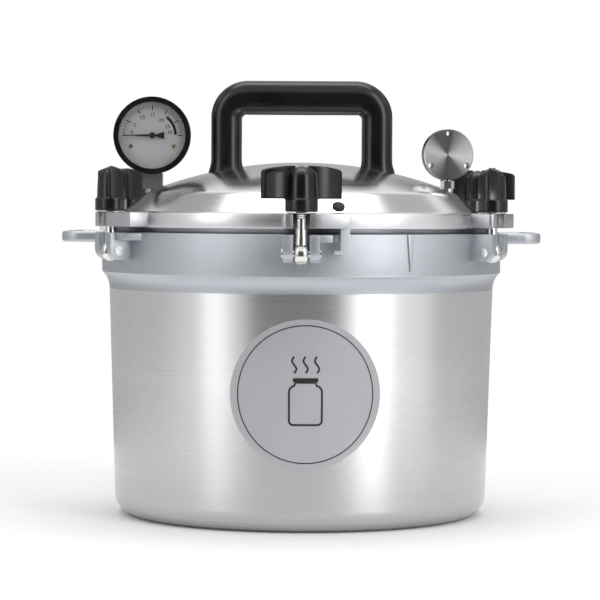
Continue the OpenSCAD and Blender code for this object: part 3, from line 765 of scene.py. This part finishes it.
def build_handle():
    """One bar bent into two legs, which flare where they stand on the lid."""
    bm = bmesh.new()
    foot_x, bar_z, bend, steps = 63.4, 349.85, 17.5, 16
    leg_half, bar_half, depth_half = 13, 14.35, 14
    corner = [(foot_x - bend + x, z) for x, z in arc(0, bar_z - bend, bend, 0, 90, steps)]
    leg = [(foot_x, z) for z in (283, 285, 287, 289, 291, 293, 295, 298, 302, 310, 320)]
    half = leg + corner
    path = [Vector((x, 0, z)) for x, z in half] + [Vector((-x, 0, z)) for x, z in half[::-1]]
    grow = bar_half / leg_half
    flare = [(1.2, 1.14), (1.19, 1.13), (1.17, 1.11), (1.13, 1.08)]
    flare += [(1.08, 1.05), (1.04, 1.02), (1.01, 1.01)]
    flare += [(1, 1)] * (len(leg) - len(flare))
    turn = [(1 + (grow - 1) * k / steps, 1) for k in range(steps + 1)]
    scales = flare + turn + turn[::-1] + flare[::-1]
    section = superellipse(leg_half, depth_half, 2.35, 64)
    add_sweep(bm, path, section, Vector((0, 1, 0)), scales)
    return make("handle_grip", bm, [PHENOLIC], "lid", "black_phenolic", "top_handle", smooth=50)


build_handle()


# ---- Wing nuts ----

def wing_surface(bm, turn):
    """One curled wing as a closed plate, with a raised rim on its hollow side."""
    curl, reach, root, wing_top = 34, 30.8, 5, 290.9
    drop, tip_drop, tip_start = 3.6, 1.5, 0.92
    inner_half, outer_half, rim_rise, rim_high, rim_wide = 0.9, 1.3, 1.3, 3.2, 2.6
    sweep = math.asin((reach - root) / curl)
    rows, columns = 18, 30
    sides = []
    for side in (0, 1):
        grid = []
        for i in range(columns + 1):
            s = i / columns
            a = s * sweep
            column = []
            for j in range(rows + 1):
                t = j / rows
                tip = max(0, (s - tip_start) / (1 - tip_start))
                top = wing_top - drop * s * s - tip_drop * tip ** 2
                z = COLLAR_TOP + (top - COLLAR_TOP) * t
                edge = max(0, 1 - (top - z) / rim_high, 1 - (1 - s) * (reach - root) / rim_wide)
                half = inner_half + rim_rise * min(1, edge * 1.6) if side else outer_half
                r = curl + half * (-1 if side else 1)
                x, y = root + r * math.sin(a), curl - r * math.cos(a)
                column.append(bm.verts.new((turn @ Vector((x, y, z))) * MM))
            grid.append(column)
        sides.append(grid)
    inner, outer = sides[1], sides[0]
    for i in range(columns):
        for j in range(rows):
            bm.faces.new((outer[i][j], outer[i + 1][j], outer[i + 1][j + 1], outer[i][j + 1]))
            bm.faces.new((inner[i][j], inner[i][j + 1], inner[i + 1][j + 1], inner[i + 1][j]))
        for j in (0, rows):
            bm.faces.new((outer[i][j], inner[i][j], inner[i + 1][j], outer[i + 1][j]))
    for j in range(rows):
        for i in (0, columns):
            bm.faces.new((outer[i][j], outer[i][j + 1], inner[i][j + 1], inner[i][j]))


def nut_mesh():
    """The nut about its own axis, its parts fused and their joints softened."""
    bm = bmesh.new()
    crown_z = 284
    hub = [(0, COLLAR_TOP - 2), (11.5, COLLAR_TOP - 2), (11.3, 272), (10.7, crown_z)]
    hub += arc(0, crown_z - 6, 12.3, 32, 88, 8)
    hub = [(r, min(z, NUT_TOP)) for r, z in hub] + [(0, NUT_TOP)]
    add_lathe(bm, hub, 64)
    bore, collar_r = 7.8, 12.95
    collar = [(bore, NUT_LOW), (12.5, NUT_LOW), (collar_r, NUT_LOW + 0.5), (collar_r, COLLAR_TOP - 0.6),
              (12.3, COLLAR_TOP), (bore, COLLAR_TOP)]
    add_lathe(bm, collar, 64)
    for k in (0, 1):
        wing_surface(bm, Matrix.Rotation(math.pi * k, 3, "Z"))
    bmesh.ops.recalc_face_normals(bm, faces=bm.faces)
    mesh = bpy.data.meshes.new("nut")
    bm.to_mesh(mesh)
    bm.free()
    obj = bpy.data.objects.new("nut_scratch", mesh)
    bpy.context.scene.collection.objects.link(obj)
    remesh = obj.modifiers.new("fuse", "REMESH")
    remesh.mode = "VOXEL"
    remesh.voxel_size = 0.5 * MM
    soften = obj.modifiers.new("soften", "SMOOTH")
    soften.factor = 0.5
    soften.iterations = 3
    return mesh_of(obj)


def build_nuts():
    """A copy of the nut at each clamp, at rest where its own tightening left it."""
    source = nut_mesh()
    for i in range(CLAMPS):
        mesh = source.copy()
        turn = Matrix.Rotation(math.radians(90 + NUT_TURNS[i]), 4, "Z")
        mesh.transform(clamp_matrix(i) @ Matrix.Translation((BOLT_R * MM, 0, 0)) @ turn)
        make_object(f"wing_nut_shell_{i + 1}", mesh, [PHENOLIC], f"nut_{i + 1}", "black_phenolic",
                    f"wing_nut_{i + 1}", smooth=60)


build_nuts()


# ---- Gauge dial ----

def dial_point(radius, clock):
    """A point on the dial; clock is degrees clockwise from 9 o'clock."""
    a = math.radians(180 - clock)
    return radius * math.cos(a), radius * math.sin(a)


def build_dial_marks():
    """The scale's lines, longer at every fifth, and the band over its last stretch."""
    bm = bmesh.new()
    face = Matrix.Translation(GAUGE * MM) @ UPRIGHT
    low, high, outer = 9.0, 9.12, 25.2
    for k in range(31):
        clock = 6 * k
        inner = 21.2 if k % 5 == 0 else 23.2
        half = 0.42 if k % 5 == 0 else 0.2
        spin = Matrix.Rotation(math.radians(180 - clock), 4, "Z")
        line = [(inner, -half), (outer, -half), (outer, half), (inner, half)]
        add_slab(bm, line, low, high, face @ spin, 0)
    warn = arc(0, 0, 20.6, 52, 2, 24) + arc(0, 0, 18.4, 2, 52, 24)
    add_slab(bm, warn[::-1], low, high, face, 0)
    return make("dial_marks", bm, [INK], "lid", "pointer_black")


def build_numbers():
    """The numbers from 0 to 30. The last ones stand further in, clear of the band."""
    near, far, lift, size, thick = 14.6, 17.2, 9.06, 4.6, 0.05
    for k, value in enumerate(range(0, 31, 5)):
        x, z = dial_point(near if k > 3 else far, 30 * k)
        if k in (0, 6):
            z += 2.6
        curve = bpy.data.curves.new(f"number_{value}", "FONT")
        curve.body = str(value)
        curve.size = size * MM
        curve.align_x = "CENTER"
        curve.align_y = "CENTER"
        curve.extrude = thick * MM
        text = bpy.data.objects.new(f"number_curve_{value}", curve)
        bpy.context.scene.collection.objects.link(text)
        mesh = mesh_of(text)
        mesh.transform(Matrix.Translation((GAUGE + Vector((x, -lift, z))) * MM) @ UPRIGHT)
        make_object(f"dial_number_{value}", mesh, [INK], "lid", "pointer_black")


build_dial_marks()
build_numbers()


# ---- Stage, lights and camera ----

def build_floor():
    """A thin pale disc just under the base."""
    bm = bmesh.new()
    radius, top, low = 620, -0.1, -0.3
    add_lathe(bm, [(0, top), (radius, top), (radius, low), (0, low)], 96)
    mesh = bpy.data.meshes.new("floor")
    bmesh.ops.recalc_face_normals(bm, faces=bm.faces)
    bm.to_mesh(mesh)
    bm.free()
    m, tree, shader = new_material("pale_floor", (0.96, 0.96, 0.96), 0.0, 0.7, Specular_IOR_Level=0.1)
    cloud = ranged(tree, noise(tree, 0.8), 0, 1)
    tree.links.new(tinted(tree, cloud, (0.95, 0.95, 0.95), (0.97, 0.97, 0.97)), shader.inputs["Base Color"])
    mesh.materials.append(m)
    floor = bpy.data.objects.new("floor", mesh)
    bpy.context.scene.collection.objects.link(floor)


# Zones of the sky that are brighter or darker than the rest: azimuth from and to in degrees (0 in front,
# positive to the right), softness, lowest and highest Z of the direction, and how much brighter
SIDE_LEVEL = 0.46
SOFT_BOXES = [
    (-84, -34, 6, -1.2, 0.6, 0.12),
    (-60, -44, 3, -0.05, 0.72, 1.8),
    (24, 84, 6, -1.2, 0.6, 0.30),
    (35, 53, 3, -0.05, 0.72, 3.2),
    (-31, 25, 4, -1.2, 0.42, -0.38),
    (-172, -130, 6, 0.04, 0.5, -0.32),
    (130, 172, 6, 0.04, 0.5, -0.32),
    (-152, -95, 8, 0.6, 0.87, -0.5),
    (95, 152, 8, 0.6, 0.87, -0.42),
]
# The ceiling: the Z of the direction where it starts and where it is full, and how bright it is. The high
# part is only over and behind the canner
CEILING_LOW = (0.35, 0.6, 0.42)
CEILING_HIGH = (0.84, 0.94, 2.4)


def build_world():
    """A soft studio: a tall soft box on either side of the camera, a bright ceiling and grey sides."""
    world = bpy.data.worlds.new("studio")
    bpy.context.scene.world = world
    world.use_nodes = True
    tree = world.node_tree
    link = tree.links.new

    def math_node(operation, first, second):
        node = tree.nodes.new("ShaderNodeMath")
        node.operation = operation
        for socket, value in zip(node.inputs, (first, second)):
            if isinstance(value, (int, float)):
                socket.default_value = value
            else:
                link(value, socket)
        return node.outputs[0]

    def smooth(value, low, high):
        node = tree.nodes.new("ShaderNodeMapRange")
        node.interpolation_type = "SMOOTHSTEP"
        node.inputs["From Min"].default_value = low
        node.inputs["From Max"].default_value = high
        link(value, node.inputs["Value"])
        return node.outputs["Result"]

    def window(value, low, high, soft):
        rise = smooth(value, low - soft, low + soft)
        fall = smooth(value, high + soft, high - soft)
        return math_node("MULTIPLY", rise, fall)

    coords = tree.nodes.new("ShaderNodeTexCoord")
    split = tree.nodes.new("ShaderNodeSeparateXYZ")
    link(coords.outputs["Generated"], split.inputs[0])
    x, y, z = split.outputs
    front = math_node("MULTIPLY", y, -1)
    azimuth = math_node("MULTIPLY", math_node("ARCTAN2", x, front), 180 / math.pi)
    total = SIDE_LEVEL
    for low, high, soft, bottom, top, level in SOFT_BOXES:
        across = window(azimuth, low, high, soft)
        part = math_node("MULTIPLY", across, window(z, bottom, top, 0.05))
        total = math_node("ADD", total, math_node("MULTIPLY", part, level))
    low, high, level = CEILING_LOW
    total = math_node("ADD", total, math_node("MULTIPLY", smooth(z, low, high), level))
    low, high, level = CEILING_HIGH
    behind = math_node("MULTIPLY", smooth(z, low, high), smooth(y, -0.15, 0.05))
    total = math_node("ADD", total, math_node("MULTIPLY", behind, level))
    background = tree.nodes["Background"]
    background.inputs["Color"].default_value = (1, 1, 1, 1)
    link(total, background.inputs["Strength"])
    # The camera itself sees plain white
    plain = tree.nodes.new("ShaderNodeBackground")
    plain.inputs["Strength"].default_value = 1.0
    plain.inputs["Color"].default_value = (1, 1, 1, 1)
    path = tree.nodes.new("ShaderNodeLightPath")
    mix = tree.nodes.new("ShaderNodeMixShader")
    link(path.outputs["Is Camera Ray"], mix.inputs[0])
    link(background.outputs[0], mix.inputs[1])
    link(plain.outputs[0], mix.inputs[2])
    link(mix.outputs[0], tree.nodes["World Output"].inputs["Surface"])


def build_camera():
    """A view nearly level with the lid, from far enough for the pot's rim to look nearly flat."""
    distance, height, tilt, roll = 2.256, 0.2658, 2.19, 0.3
    data = bpy.data.cameras.new("camera")
    data.sensor_width = 36
    data.lens = 160.2
    camera = bpy.data.objects.new("camera", data)
    camera.location = (-0.0008, -distance, height)
    level = Matrix.Rotation(math.radians(90 - tilt), 4, "X")
    rolled = Matrix.Rotation(math.radians(roll), 4, "Z")
    camera.matrix_world = Matrix.Translation(camera.location) @ level @ rolled
    bpy.context.scene.collection.objects.link(camera)
    bpy.context.scene.camera = camera


build_floor()
build_world()
build_camera()
bpy.context.scene.view_settings.view_transform = "Standard"
